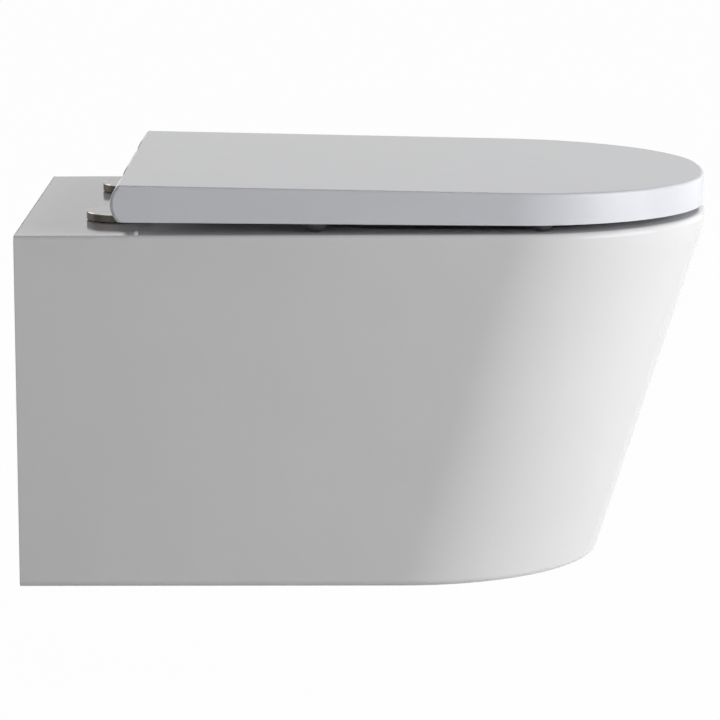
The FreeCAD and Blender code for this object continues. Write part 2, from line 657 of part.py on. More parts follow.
# ---- hinge, lift-off half: housing, dampers, pins, clip, button and spring -------------------

def axis_point(x):
    return Vector(x, AXIS_Y, AXIS_Z)


def damper_mouth(side):
    """Each housing takes its damper at its -X end: the lid's on the left, the seat's on the right."""
    return axis_point(side * HINGE_X - HOUSING_LENGTH / 2)


def pin_mouth(side):
    """Each housing takes its plain pin at its +X end: the seat's on the left, the lid's on the right."""
    return axis_point(side * HINGE_X + HOUSING_LENGTH / 2)


def button_centre(side, off_post):
    """A point on the button's axis, a distance from the post towards the middle of the seat."""
    return Vector(side * (HINGE_X - off_post), AXIS_Y, groove_z())


def hinge_housing(side):
    """Chrome block that drops over the post, with a barrel across it for damper and pin."""
    barrel = cylinder(BARREL_R, damper_mouth(side), X_AXIS, HOUSING_LENGTH)
    rims = [e for e in barrel.Edges if isinstance(e.Curve, Part.Circle)]
    barrel = barrel.makeFillet(BARREL_EDGE_R, rims)
    centre_x = side * HINGE_X
    foot = block(centre_x - BLOCK_WIDTH / 2, centre_x + BLOCK_WIDTH / 2,
                 AXIS_Y - BLOCK_FRONT, AXIS_Y + BLOCK_BACK,
                 DISC_TOP_Z + BLOCK_ABOVE_DISC, AXIS_Z)
    body = barrel.fuse(foot.makeFillet(BLOCK_CORNER_R, upright_edges(foot)))
    socket = cylinder(POST_R + POST_CLEARANCE, post_centre(side, DISC_TOP_Z), Z_AXIS,
                      POST_HEIGHT + FIT_CLEARANCE)
    slot_half = CLIP_WIRE_R + CLIP_SLOT_CLEARANCE
    leg = POST_GROOVE_R + 2 * CLIP_WIRE_R + CLIP_SLOT_CLEARANCE
    slot = block(centre_x - leg, centre_x + leg, AXIS_Y - BLOCK_FRONT - CUT_OVERRUN,
                 AXIS_Y + POST_R, groove_z() - slot_half, groove_z() + slot_half)
    inwards = X_AXIS * -side
    button_way = cylinder(BUTTON_R + RUNNING_CLEARANCE, button_centre(side, 0), inwards, BLOCK_WIDTH)
    collar_way = cylinder(BUTTON_COLLAR_R + RUNNING_CLEARANCE, button_centre(side, 0), inwards,
                          button_rest() + BUTTON_COLLAR_T)
    return body.cut([
        cylinder(DAMPER_R, damper_mouth(side), X_AXIS, DAMPER_LENGTH),
        cylinder(PIN_R, pin_mouth(side), -X_AXIS, PIN_IN_HOUSING),
        socket, slot, button_way, collar_way])


def damper(side):
    """Soft-close cartridge: a sealed cylinder whose bore holds the turning shaft."""
    start = damper_mouth(side)
    body = cylinder(DAMPER_R - SNUG, start, X_AXIS, DAMPER_LENGTH - SNUG)
    return body.cut(cylinder(DAMPER_BORE_R, start, X_AXIS, DAMPER_BORE_DEPTH))


def shaft_end(clearance, start, length):
    """Round end with two flats, which turns whatever it is pushed into."""
    flat = SHAFT_FLAT + clearance
    round_end = cylinder(SHAFT_R + clearance, start, -X_AXIS, length)
    keep = block(start.x - length, start.x, start.y - SHAFT_R - CUT_OVERRUN, start.y + SHAFT_R + CUT_OVERRUN,
                 start.z - flat, start.z + flat)
    return round_end.common(keep)


def damper_shaft(side):
    """Shaft of a damper: a journal that turns in the cartridge and a flatted end in the knuckle."""
    mouth = damper_mouth(side)
    journal_r = DAMPER_BORE_R - RUNNING_CLEARANCE
    journal_start = mouth - X_AXIS * KNUCKLE_GAP
    journal = cylinder(journal_r, journal_start, X_AXIS, KNUCKLE_GAP + DAMPER_BORE_DEPTH - FIT_CLEARANCE)
    return journal.fuse(shaft_end(0, journal_start, SHAFT_LENGTH)).removeSplitter()


def hinge_pin(side):
    """Plain pin pressed into the housing's other end."""
    start = pin_mouth(side) - X_AXIS * (PIN_IN_HOUSING - SNUG)
    pin = cylinder(PIN_R - SNUG, start, X_AXIS, PIN_LENGTH)
    tip = [e for e in pin.Edges
           if isinstance(e.Curve, Part.Circle) and e.BoundBox.XMin > start.x + SAME_PLACE]
    return pin.makeChamfer(PIN_CHAMFER, tip)


def pin_bush(side):
    """Plastic bush in a knuckle, on which the seat or the lid turns about its pin."""
    start = pin_mouth(side) + X_AXIS * KNUCKLE_GAP
    bush = cylinder(bush_r() - SNUG, start, X_AXIS, KNUCKLE_LENGTH)
    return bush.cut(cylinder(PIN_R - SNUG + RUNNING_CLEARANCE, start, X_AXIS, KNUCKLE_LENGTH))


def bush_r():
    return PIN_R + BUSH_WALL


def knuckle(start, x_sign):
    """Solid knuckle round the hinge axis, from a housing's end away from the housing."""
    return cylinder(KNUCKLE_R, start + X_AXIS * (x_sign * KNUCKLE_GAP), X_AXIS * x_sign, KNUCKLE_LENGTH)


def shaft_hole(side):
    start = damper_mouth(side) - X_AXIS * KNUCKLE_GAP
    return shaft_end(SNUG, start, SHAFT_LENGTH + FIT_CLEARANCE)


def bush_hole(side):
    start = pin_mouth(side) + X_AXIS * (KNUCKLE_GAP / 2)
    return cylinder(bush_r(), start, X_AXIS, KNUCKLE_LENGTH + KNUCKLE_GAP)


def retaining_clip(side):
    """U of spring wire: its two legs lie in the post's groove, its bow in front of the post."""
    reach = POST_GROOVE_R + CLIP_WIRE_R + SNUG
    centre = post_centre(side, groove_z())
    back = Vector(0, POST_R - CLIP_WIRE_R, 0)
    right, left = centre + X_AXIS * reach, centre - X_AXIS * reach
    bow = centre - Y_AXIS * reach
    path = Part.Wire([Part.LineSegment(right + back, right).toShape(),
                      Part.Arc(right, bow, left).toShape(),
                      Part.LineSegment(left, left + back).toShape()])
    return path.makePipe(Part.Face(Part.Wire(Part.makeCircle(CLIP_WIRE_R, right + back, Y_AXIS))))


def button_rest():
    """Distance from the post's axis to the released button's inner end."""
    return BLOCK_WIDTH / 2 + BUTTON_STICKS_OUT - BUTTON_LENGTH


def release_button(side):
    """Round push button in the housing's inner side; its collar keeps it from falling out."""
    inwards = X_AXIS * -side
    start = button_centre(side, button_rest())
    body = cylinder(BUTTON_R, start, inwards, BUTTON_LENGTH)
    face = [e for e in body.Edges if isinstance(e.Curve, Part.Circle)
            and abs(e.BoundBox.XMin - (start + inwards * BUTTON_LENGTH).x) < SAME_PLACE]
    body = body.makeFillet(BUTTON_EDGE_R, face)
    return body.fuse(cylinder(BUTTON_COLLAR_R, start, inwards, BUTTON_COLLAR_T - SNUG)).removeSplitter()


def arc_to(start, corner, end):
    """Arc that leaves start towards the corner where its two end tangents meet, and ends at end."""
    chord_middle = (start + end) * 0.5
    tangent_length = (start - corner).Length
    depth = (chord_middle - corner).Length
    radius = tangent_length * (start - chord_middle).Length / depth
    to_arc = math.hypot(radius, tangent_length) - radius
    return Part.Arc(start, corner + (chord_middle - corner) * (to_arc / depth), end).toShape()


def coil_path(radius, pitch, turns):
    """Helix about +X from x = 0, as two tangent arcs in every quarter turn."""
    def point(angle):
        return Vector(pitch * angle / (2 * math.pi), radius * math.cos(angle), radius * math.sin(angle))

    def heading(angle):
        ahead = Vector(pitch / (2 * math.pi), -radius * math.sin(angle), radius * math.cos(angle))
        return ahead.normalize()

    arcs = []
    for quarter in range(round(4 * turns)):
        angle, next_angle = quarter * math.pi / 2, (quarter + 1) * math.pi / 2
        p, q, u, v = point(angle), point(next_angle), heading(angle), heading(next_angle)
        gap, lean = q - p, 2 * (1 - u.dot(v))
        along = gap.dot(u + v)
        reach = (math.sqrt(along ** 2 + lean * gap.dot(gap)) - along) / lean
        first, second = p + u * reach, q - v * reach
        joint = (first + second) * 0.5
        arcs += [arc_to(p, first, joint), arc_to(joint, second, q)]
    return Part.Wire(arcs), heading(0)


def button_spring(side):
    """Small coil spring between the post's socket and the button."""
    inner = POST_R + POST_CLEARANCE + SPRING_SEAT
    length = button_rest() - inner - 2 * SPRING_WIRE_R - SNUG
    path, heading = coil_path(SPRING_R, length / SPRING_TURNS, SPRING_TURNS)
    sweep = Part.BRepOffsetAPI.MakePipeShell(path)
    sweep.add(Part.Wire(Part.makeCircle(SPRING_WIRE_R, Vector(0, SPRING_R, 0), heading)))
    sweep.build()
    sweep.makeSolid()
    coil = sweep.shape()
    if side > 0:
        coil.rotate(Vector(0, 0, 0), Z_AXIS, 180)
    coil.translate(button_centre(side, inner + SPRING_WIRE_R))
    return coil


# ---- lid and seat ---------------------------------------------------------------------------

def side_profile(top, top_slope, bottom, bottom_slope, rear_r):
    """Lid or seat seen from the side, as a slab across X: two sloping lines and a rear arc.

    Heights are above the hinge axis, taken at the axis; the arc is centred on the axis.
    """
    reach = PAN_PROJECTION - HINGE_AXIS_FROM_WALL + LID_REAR_R
    half = PAN_WIDTH

    def at(y, z):
        return Vector(-half, AXIS_Y + y, AXIS_Z + z)

    def on_circle(height, slope):
        a, b, c = 1 + slope ** 2, 2 * height * slope, height ** 2 - rear_r ** 2
        y = (-b + math.sqrt(b ** 2 - 4 * a * c)) / (2 * a)
        return at(y, height + slope * y)

    upper, lower = on_circle(top, top_slope), on_circle(bottom, bottom_slope)
    wire = Part.Wire([
        Part.LineSegment(at(-reach, top - top_slope * reach), upper).toShape(),
        Part.Arc(upper, at(rear_r, 0), lower).toShape(),
        Part.LineSegment(lower, at(-reach, bottom - bottom_slope * reach)).toShape(),
        Part.LineSegment(at(-reach, bottom - bottom_slope * reach),
                         at(-reach, top - top_slope * reach)).toShape(),
    ])
    return Part.Face(wire).extrude(X_AXIS * 2 * half)


def lid_prism(inset):
    """Upright prism on the lid's D outline, moved in by an inset, taller than the lid."""
    nose = PAN_PROJECTION - LID_NOSE_INSET
    rear = HINGE_AXIS_FROM_WALL - 2 * LID_REAR_R
    outline = d_outline(nose, HALF_WIDTH - LID_SHOULDER_INSET, HALF_WIDTH - LID_REAR_INSET, rear,
                        inset, RIM_Z - LID_REAR_R)
    return prism(outline, LID_REAR_R + LID_CUT_REACH)


def lid_bottom():
    """Height of the lid's lower edge, relative to the hinge axis and taken at the axis."""
    return LID_TOP_ABOVE_AXIS - LID_SIDE_HEIGHT


def lid_top_z(from_wall):
    return AXIS_Z + LID_TOP_ABOVE_AXIS - LID_TOP_SLOPE * (from_wall - HINGE_AXIS_FROM_WALL)


def seat_top_z(from_wall):
    return lid_top_z(from_wall) - LID_TOP_T - SEAT_TOP_GAP


def seat_bottom_z(from_wall):
    drop = LID_BOTTOM_SLOPE * (from_wall - HINGE_AXIS_FROM_WALL)
    return AXIS_Z + lid_bottom() + SEAT_ABOVE_LID_EDGE - drop


def lid_notch(side):
    """Room for housing, disc and knuckles behind and below the hinge axis."""
    x0 = side * HINGE_X - HOUSING_LENGTH / 2 - NOTCH_OVERHANG
    radial = math.radians(LID_NOTCH_DEG)
    corners = [axis_point(x0),
               axis_point(x0) + Vector(0, math.cos(radial), math.sin(radial)) * LID_CUT_REACH,
               axis_point(x0) + Vector(0, 1, -1) * LID_CUT_REACH,
               axis_point(x0) + Vector(0, 0, -1) * LID_CUT_REACH]
    wedge = Part.Face(Part.makePolygon(corners + corners[:1]))
    return wedge.extrude(X_AXIS * (HOUSING_LENGTH + 2 * NOTCH_OVERHANG))


def lid_lip_cut():
    """Takes the lid's rear wall off below a radial line, between the two side walls."""
    half = HALF_WIDTH - LID_REAR_INSET - LID_WALL
    drop = math.radians(LID_LIP_DROP_DEG)
    corners = [axis_point(-half),
               axis_point(-half) + Vector(0, math.cos(drop), -math.sin(drop)) * LID_CUT_REACH,
               axis_point(-half) + Vector(0, 1, -1) * LID_CUT_REACH,
               axis_point(-half) + Vector(0, 0, -1) * LID_CUT_REACH]
    return Part.Face(Part.makePolygon(corners + corners[:1])).extrude(X_AXIS * 2 * half)


def lid_knuckle_web(start, x_sign):
    """Block that carries a lid knuckle on the lid's underside."""
    x0 = start.x + x_sign * KNUCKLE_GAP
    x1 = x0 + x_sign * KNUCKLE_LENGTH
    return block(min(x0, x1), max(x0, x1), AXIS_Y - KNUCKLE_R, AXIS_Y + LID_WEB_BACK,
                 AXIS_Z, AXIS_Z + LID_TOP_ABOVE_AXIS - LID_TOP_T + CUT_OVERRUN)


def lid():
    """Wrap-over lid: a D-shaped cap with side walls, whose rear edge is round about the axis."""
    outside = lid_prism(0).common(side_profile(LID_TOP_ABOVE_AXIS, LID_TOP_SLOPE,
                                               lid_bottom(), LID_BOTTOM_SLOPE, LID_REAR_R))
    rounded = []
    for edge in outside.Edges:
        middle = edge.valueAt((edge.FirstParameter + edge.LastParameter) / 2)
        rear_corner = middle.y > AXIS_Y + LID_REAR_R / 2 and abs(middle.x) > HALF_WIDTH / 2
        if abs(middle.z - lid_top_z(-middle.y)) < SAME_PLACE or rear_corner:
            rounded.append(edge)
    outside = outside.makeFillet(LID_TOP_EDGE_R, rounded)
    inside = lid_prism(LID_WALL).common(side_profile(
        LID_TOP_ABOVE_AXIS - LID_TOP_T, LID_TOP_SLOPE, -LID_REAR_R + LID_WALL + LID_LIP_ROOT, 0,
        LID_REAR_R - LID_WALL))
    below = lid_prism(LID_WALL).common(block(-PAN_WIDTH, PAN_WIDTH, -2 * PAN_PROJECTION, AXIS_Y,
                                             0, AXIS_Z))
    shell = outside.cut([inside, below, lid_lip_cut()] + [lid_notch(side) for _, side in SIDES])
    left, right = damper_mouth(-1), pin_mouth(1)
    carried = [knuckle(left, -1), lid_knuckle_web(left, -1), knuckle(right, 1), lid_knuckle_web(right, 1)]
    return shell.fuse(carried).cut([shaft_hole(-1), bush_hole(1)]
                                   + [lid_pad_stub(x, p, SNUG) for x, p in lid_pad_places()])


def seat_notch(side):
    """Gap in the seat's rear edge for a hinge housing and the lid's knuckle beside it."""
    inner = HINGE_X - HOUSING_LENGTH / 2 - KNUCKLE_GAP
    outer = HINGE_X + HOUSING_LENGTH / 2 + NOTCH_OVERHANG
    x0, x1 = sorted((side * inner, side * outer))
    gap = block(x0, x1, AXIS_Y - NOTCH_FROM_AXIS, AXIS_Y + LID_CUT_REACH,
                RIM_Z - LID_REAR_R, RIM_Z + LID_CUT_REACH)
    front = [e for e in upright_edges(gap) if e.BoundBox.YMax < AXIS_Y]
    return gap.makeFillet(NOTCH_CORNER_R, front)


def seat():
    """Thermoset seat ring inside the lid's walls, with two knuckles on the hinge axis."""
    top = LID_TOP_ABOVE_AXIS - LID_TOP_T - SEAT_TOP_GAP
    bottom = lid_bottom() + SEAT_ABOVE_LID_EDGE
    rear_r = max(abs(bottom), abs(top)) + CUT_OVERRUN
    slab = lid_prism(LID_WALL + SEAT_SIDE_GAP).common(
        side_profile(top, LID_TOP_SLOPE, bottom, LID_BOTTOM_SLOPE, rear_r))
    behind_axis = block(-PAN_WIDTH, PAN_WIDTH, AXIS_Y, 0, RIM_Z, RIM_Z + PAN_HEIGHT)
    slab = slab.cut(behind_axis)
    rim = [e for e in slab.Edges if on_seat_plane(e, seat_top_z) and e.BoundBox.YMin < AXIS_Y - SAME_PLACE]
    slab = slab.makeFillet(SEAT_OUTER_EDGE_R, rim)
    opening = prism(egg_outline(SEAT_OPENING_FRONT_CENTRE, SEAT_OPENING_FRONT_R,
                                SEAT_OPENING_BACK_CENTRE, SEAT_OPENING_BACK_R, RIM_Z), PAN_HEIGHT)
    ring = slab.cut(opening)
    edge_of_opening = egg_outline(SEAT_OPENING_FRONT_CENTRE, SEAT_OPENING_FRONT_R,
                                  SEAT_OPENING_BACK_CENTRE, SEAT_OPENING_BACK_R, 0)
    inner = [e for e in ring.Edges if on_seat_plane(e, seat_top_z) and over_wire(e, edge_of_opening)]
    ring = ring.makeFillet(SEAT_INNER_EDGE_R, inner)
    lower = [e for e in ring.Edges if on_seat_plane(e, seat_bottom_z) and over_wire(e, edge_of_opening)]
    ring = ring.makeFillet(SEAT_LOWER_EDGE_R, lower)
    ring = ring.cut([seat_notch(side) for _, side in SIDES])
    left, right = pin_mouth(-1), damper_mouth(1)
    ring = ring.fuse([knuckle(left, 1), knuckle(right, -1)])
    stub_holes = [seat_pad_stub(x, p, SNUG) for x, p in seat_pad_places()]
    return ring.cut([bush_hole(-1), shaft_hole(1)] + stub_holes)


def on_seat_plane(edge, height):
    """Whether an edge lies in the seat's sloping top or bottom face."""
    places = [edge.valueAt(edge.FirstParameter + share * (edge.LastParameter - edge.FirstParameter))
              for share in (0.1, 0.5, 0.9)]
    return all(abs(p.z - height(-p.y)) < SAME_PLACE for p in places)


def over_wire(edge, wire):
    middle = edge.valueAt((edge.FirstParameter + edge.LastParameter) / 2)
    return Part.Vertex(middle.x, middle.y, 0).distToShape(wire)[0] < NEAR_WIRE


def seat_pad_places():
    return [(side * (HALF_WIDTH - PAD_FROM_SIDE), from_wall)
            for from_wall in (PAD_REAR_FROM_WALL, PAD_FRONT_FROM_WALL) for _, side in SIDES]


def lid_pad_places():
    return [(side * (HALF_WIDTH - LID_PAD_FROM_SIDE), from_wall)
            for from_wall in (LID_PAD_REAR_FROM_WALL, LID_PAD_FRONT_FROM_WALL) for _, side in SIDES]


def seat_pad_stub(x, from_wall, clearance):
    base = Vector(x, -from_wall, seat_bottom_z(from_wall) - CUT_OVERRUN)
    return cylinder(PAD_STUB_R + clearance, base, Z_AXIS, PAD_STUB_LENGTH + CUT_OVERRUN + clearance)


def lid_pad_stub(x, from_wall, clearance):
    base = Vector(x, -from_wall, lid_top_z(from_wall) - LID_TOP_T - CUT_OVERRUN)
    return cylinder(PAD_STUB_R + clearance, base, Z_AXIS, LID_PAD_STUB_LENGTH + CUT_OVERRUN + clearance)


def seat_pads():
    """Four domed rubber pads plugged into the seat's underside; they rest on the rim."""
    pads = []
    for x, from_wall in seat_pad_places():
        low = RIM_Z + PAD_REST_GAP
        height = seat_bottom_z(from_wall) - low + CUT_OVERRUN
        pad = cylinder(PAD_R, Vector(x, -from_wall, low), Z_AXIS, height)
        pad = pad.makeFillet(PAD_CROWN, edges_at_height(pad, low, lambda p: True))
        above = lid_prism(0).common(side_profile(
            LID_TOP_ABOVE_AXIS, LID_TOP_SLOPE, lid_bottom() + SEAT_ABOVE_LID_EDGE, LID_BOTTOM_SLOPE,
            LID_REAR_R))
        pads.append(pad.cut(above).fuse(seat_pad_stub(x, from_wall, 0)).removeSplitter())
    return Part.makeCompound(pads)


def lid_pads():
    """Four small rubber pads plugged into the lid's underside; they rest on the seat."""
    pads = []
    for x, from_wall in lid_pad_places():
        low = seat_top_z(from_wall - LID_PAD_R) + PAD_REST_GAP
        pad = cylinder(LID_PAD_R, Vector(x, -from_wall, low), Z_AXIS, SEAT_TOP_GAP + LID_TOP_T)
        pad = pad.makeFillet(LID_PAD_EDGE_R, edges_at_height(pad, low, lambda p: True))
        above = lid_prism(0).cut(side_profile(LID_TOP_ABOVE_AXIS - LID_TOP_T, LID_TOP_SLOPE,
                                              lid_bottom() - LID_REAR_R, 0, LID_CUT_REACH))
        pads.append(pad.cut(above).fuse(lid_pad_stub(x, from_wall, 0)).removeSplitter())
    return Part.makeCompound(pads)


# ---- all pieces -----------------------------------------------------------------------------

def pieces():
    """Every node by name."""
    made = {
        "pan": pan(),
        "bowl_ring": bowl_ring(),
        "bowl": bowl(),
        "trap": trap(),
        "flush_channel": flush_channel(),
        "flush_diffuser": flush_diffuser(),
        "seat": seat(),
        "seat_pads": seat_pads(),
        "lid": lid(),
        "lid_pads": lid_pads(),
        "lid_damper": damper(-1),
        "lid_damper_shaft": damper_shaft(-1),
        "lid_pin": hinge_pin(1),
        "lid_pin_bush": pin_bush(1),
        "seat_damper": damper(1),
        "seat_damper_shaft": damper_shaft(1),
        "seat_pin": hinge_pin(-1),
        "seat_pin_bush": pin_bush(-1),
    }
    paired = {
        "wall_bracket": wall_bracket, "bracket_spacer": bracket_spacer, "bracket_nut": bracket_nut,
        "fixing_bolt": fixing_bolt, "hinge_gasket": hinge_gasket, "hinge_base": hinge_base,
        "hinge_post": hinge_post,
        "hinge_screw": hinge_screw, "hinge_disc": hinge_disc, "hinge_housing": hinge_housing,
        "retaining_clip": retaining_clip, "release_button": release_button,
        "button_spring": button_spring,
    }
    for name, make in paired.items():
        for side_name, side in SIDES:
            made[name + "_" + side_name] = make(side)
    return made


os.makedirs("parts", exist_ok=True)
for node, shape in pieces().items():
    shape.exportStep("parts/" + node + ".step")
    print(node, round(shape.Volume), "mm3", len(shape.Solids), "solid(s)")
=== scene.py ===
import math

import bpy
import numpy as np
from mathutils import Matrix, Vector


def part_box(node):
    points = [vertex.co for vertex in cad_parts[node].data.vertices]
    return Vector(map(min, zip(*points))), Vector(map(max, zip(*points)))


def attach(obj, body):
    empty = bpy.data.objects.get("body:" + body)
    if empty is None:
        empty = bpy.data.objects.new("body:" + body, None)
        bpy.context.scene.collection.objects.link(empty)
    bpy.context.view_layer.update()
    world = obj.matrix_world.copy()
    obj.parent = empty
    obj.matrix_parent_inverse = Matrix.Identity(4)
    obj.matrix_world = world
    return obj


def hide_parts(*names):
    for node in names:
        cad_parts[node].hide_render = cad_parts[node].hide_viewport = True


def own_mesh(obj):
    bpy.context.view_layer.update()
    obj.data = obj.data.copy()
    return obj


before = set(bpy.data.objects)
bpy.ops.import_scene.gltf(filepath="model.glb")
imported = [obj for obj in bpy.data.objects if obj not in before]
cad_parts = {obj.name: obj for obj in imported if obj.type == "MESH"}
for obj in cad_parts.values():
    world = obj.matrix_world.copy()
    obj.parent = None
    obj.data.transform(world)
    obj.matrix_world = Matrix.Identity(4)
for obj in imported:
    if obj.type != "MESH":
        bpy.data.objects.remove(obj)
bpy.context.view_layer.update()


# The pan: vitreous china, slip-cast hollow in a plaster mould and fired white under a thick
# clear glaze, which pools and ripples a little. The face against the wall is left raw.
MIX_FACTOR, MIX_FIRST, MIX_SECOND, MIX_COLOUR = 0, 6, 7, 2


class Wire:
    """A shader socket that takes part in sums: a + b, 1 - a or 0.5 * a adds a Math node."""

    def __init__(self, socket):
        self.socket = socket

    def node(self, kind, settings=(), sockets=(), output=0):
        """Adds a node of a kind: its settings come first, then its sockets' values or links."""
        tree = self.socket.id_data
        made = tree.nodes.new("ShaderNode" + kind)
        for name, value in dict(settings).items():
            setattr(made, name, value)
        for name, value in dict(sockets).items():
            if isinstance(value, Wire):
                tree.links.new(value.socket, made.inputs[name])
            else:
                made.inputs[name].default_value = value
        return Wire(made.outputs[output])

    def math(self, operation, first, second):
        """Adds a Math node that works on two wires or numbers."""
        return self.node("Math", {"operation": operation}, {0: first, 1: second})

    def __add__(self, other):
        return self.math("ADD", self, other)

    def __radd__(self, other):
        return self.math("ADD", other, self)

    def __sub__(self, other):
        return self.math("SUBTRACT", self, other)

    def __rsub__(self, other):
        return self.math("SUBTRACT", other, self)

    def __mul__(self, other):
        return self.math("MULTIPLY", self, other)

    def __rmul__(self, other):
        return self.math("MULTIPLY", other, self)

    def beside(self, output):
        """Another output of this wire's own node."""
        return Wire(self.socket.node.outputs[output])

    def noise(self, per_metre, detail=2.0):
        """Soft noise read at these coordinates, from 0 to 1 about a middle of one half."""
        return self.node("TexNoise", (), {"Vector": self, "Scale": per_metre, "Detail": detail})

    def drawn_out(self, scale):
        """These coordinates times a scale for each axis, at which noise runs in streaks."""
        return self.node("Mapping", (), {"Vector": self, "Scale": scale})

    def between(self, low, high):
        """0 where this value is below low, 1 above high, and smooth in between."""
        return self.node("MapRange", {"interpolation_type": "SMOOTHSTEP"},
                         {"Value": self, "From Min": low, "From Max": high})

    def part(self, axis):
        """The X, Y or Z part of these coordinates."""
        return self.node("SeparateXYZ", (), {"Vector": self}, axis)

    def blend(self, first, second):
        """The first colour where this mask is 0 and the second where it is 1."""
        return self.node("Mix", {"data_type": "RGBA"},
                         {MIX_FACTOR: self, MIX_FIRST: first, MIX_SECOND: second}, MIX_COLOUR)

    def bump(self, strength, depth):
        """A normal that leans with the slope of this height times a depth in metres."""
        return self.node("Bump", (), {"Height": self, "Strength": strength, "Distance": depth})

    def into(self, shader, socket):
        """Feeds one of the shader's sockets."""
        self.socket.id_data.links.new(self.socket, shader.inputs[socket])


def new_finish(name, constants):
    """A material, its one shader with fixed values, and the object's own coordinates."""
    finish = bpy.data.materials.new(name)
    finish.use_nodes = True
    tree = finish.node_tree
    shader = tree.nodes["Principled BSDF"]
    for socket, value in constants.items():
        shader.inputs[socket].default_value = value
    return finish, shader, Wire(tree.nodes.new("ShaderNodeTexCoord").outputs["Object"])


def paint(names, finish):
    """Gives carried-over solids this one finish in place of their own."""
    for name in names:
        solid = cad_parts[name].data
        solid.materials.clear()
        solid.materials.append(finish)


GLAZE_WHITE = (0.862, 0.858, 0.868, 1)
GLAZE_POOL = (0.842, 0.839, 0.85, 1)
RAW_CHINA = (0.70, 0.665, 0.61, 1)
RAW_DEPTH = 0.0008
GLAZE_ROUGHNESS, GLAZE_DRIFT, SPECK_ROUGHNESS, RAW_ROUGHNESS = 0.07, 0.03, 0.05, 0.6
GLAZE_RIPPLE, RIPPLE_DEPTH, SAG_PER_PEEL = 0.05, 0.0006, 6.0

glaze, shader, place = new_finish("fired_glaze", {"IOR": 1.52, "Specular IOR Level": 0.2})
pools = place.noise(per_metre=9.0, detail=3.0).between(0.35, 0.7)
specks = place.noise(per_metre=900.0, detail=1.0).between(0.74, 0.8)
raw = place.part("Y").between(-RAW_DEPTH, -RAW_DEPTH / 2)
raw.blend(pools.blend(GLAZE_WHITE, GLAZE_POOL), RAW_CHINA).into(shader, "Base Color")
drift = place.noise(per_metre=6.0)
(GLAZE_ROUGHNESS + GLAZE_DRIFT * drift + SPECK_ROUGHNESS * specks
 + RAW_ROUGHNESS * raw).into(shader, "Roughness")
orange_peel = place.noise(per_metre=240.0, detail=1.0)
sag = place.noise(per_metre=14.0, detail=1.0)
(orange_peel + SAG_PER_PEEL * sag).bump(GLAZE_RIPPLE, RIPPLE_DEPTH).into(shader, "Normal")
paint(["pan", "bowl_ring", "bowl", "trap", "flush_channel"], glaze)


# The flush diffuser: an insert of satin white plastic, moulded in one with the shield that turns
# the water sideways, and pushed into the flush channel's mouth.
def roughen(shader, place, least, swing, per_metre, detail=2.0):
    """Roughness is the least value plus a swing times noise."""
    (least + swing * place.noise(per_metre, detail)).into(shader, "Roughness")


def dimple(shader, place, strength, depth, per_metre, detail=2.0):
    """The normal leans with noise times a depth in metres."""
    place.noise(per_metre, detail).bump(strength, depth).into(shader, "Normal")


SATIN_WHITE = (0.80, 0.80, 0.79, 1)
satin, shader, place = new_finish("satin_plastic", {"Base Color": SATIN_WHITE, "IOR": 1.46})
roughen(shader, place, least=0.34, swing=0.08, per_metre=60.0)
dimple(shader, place, strength=0.08, depth=0.0002, per_metre=700.0)
paint(["flush_diffuser"], satin)


# The hidden wall fixing: two bent angles with weld nuts under them, all of zinc-plated steel. A
# bolt goes down from the deck through a nylon sleeve, which carries the deck on the angle.
def both(name):
    """The left and the right one of a paired piece."""
    return [name + "_left", name + "_right"]


ZINC_LIGHT = (0.66, 0.67, 0.69, 1)
ZINC_DARK = (0.50, 0.51, 0.53, 1)
SPANGLES_PER_METRE = 260.0
ZINC_ROUGHNESS, SPANGLE_ROUGHNESS = 0.32, 0.14
zinc, shader, place = new_finish("zinc_plate", {"Metallic": 1.0})
flakes = place.node("TexVoronoi", {"feature": "F1"},
                    {"Vector": place, "Scale": SPANGLES_PER_METRE}, "Color")
spangle = flakes.node("SeparateColor", (), {"Color": flakes}, "Red")
spangle.blend(ZINC_LIGHT, ZINC_DARK).into(shader, "Base Color")
(ZINC_ROUGHNESS + SPANGLE_ROUGHNESS * spangle).into(shader, "Roughness")
paint(both("wall_bracket") + both("bracket_nut") + both("fixing_bolt"), zinc)

NYLON = (0.045, 0.045, 0.047, 1)
nylon, shader, place = new_finish("dark_nylon", {"Base Color": NYLON, "IOR": 1.5})
roughen(shader, place, least=0.42, swing=0.1, per_metre=120.0)
dimple(shader, place, strength=0.1, depth=0.0002, per_metre=900.0)
paint(both("bracket_spacer"), nylon)


# The hinge's fixed half: a rubber gasket, a die-cast base with a turned steel post riveted into
# it, a countersunk steel screw and, over them, a pressed disc of chromed brass just off the deck.
GASKET_BLACK = (0.022, 0.021, 0.02, 1)
rubber, shader, place = new_finish("gasket_rubber", {"Base Color": GASKET_BLACK, "IOR": 1.5})
roughen(shader, place, least=0.62, swing=0.12, per_metre=300.0)
dimple(shader, place, strength=0.15, depth=0.0002, per_metre=1500.0)
paint(both("hinge_gasket"), rubber)

CAST_GREY = (0.46, 0.46, 0.47, 1)
casting, shader, place = new_finish("die_cast_zinc", {"Base Color": CAST_GREY, "Metallic": 1.0})
roughen(shader, place, least=0.38, swing=0.16, per_metre=180.0, detail=4.0)
dimple(shader, place, strength=0.15, depth=0.0002, per_metre=1100.0, detail=3.0)
paint(both("hinge_base"), casting)

STEEL = (0.58, 0.575, 0.565, 1)
GRINDING = (40.0, 1.0, 1.0)
steel, shader, place = new_finish("ground_steel", {"Base Color": STEEL, "Metallic": 1.0})
roughen(shader, place.drawn_out(GRINDING), least=0.2, swing=0.15, per_metre=900.0, detail=3.0)
paint(both("hinge_post") + both("hinge_screw"), steel)


def polishing(place):
    """Noise drawn out across the pan, as a polishing wheel leaves it."""
    return place.drawn_out((1.0, 12.0, 1.0)).noise(per_metre=220.0, detail=4.0)


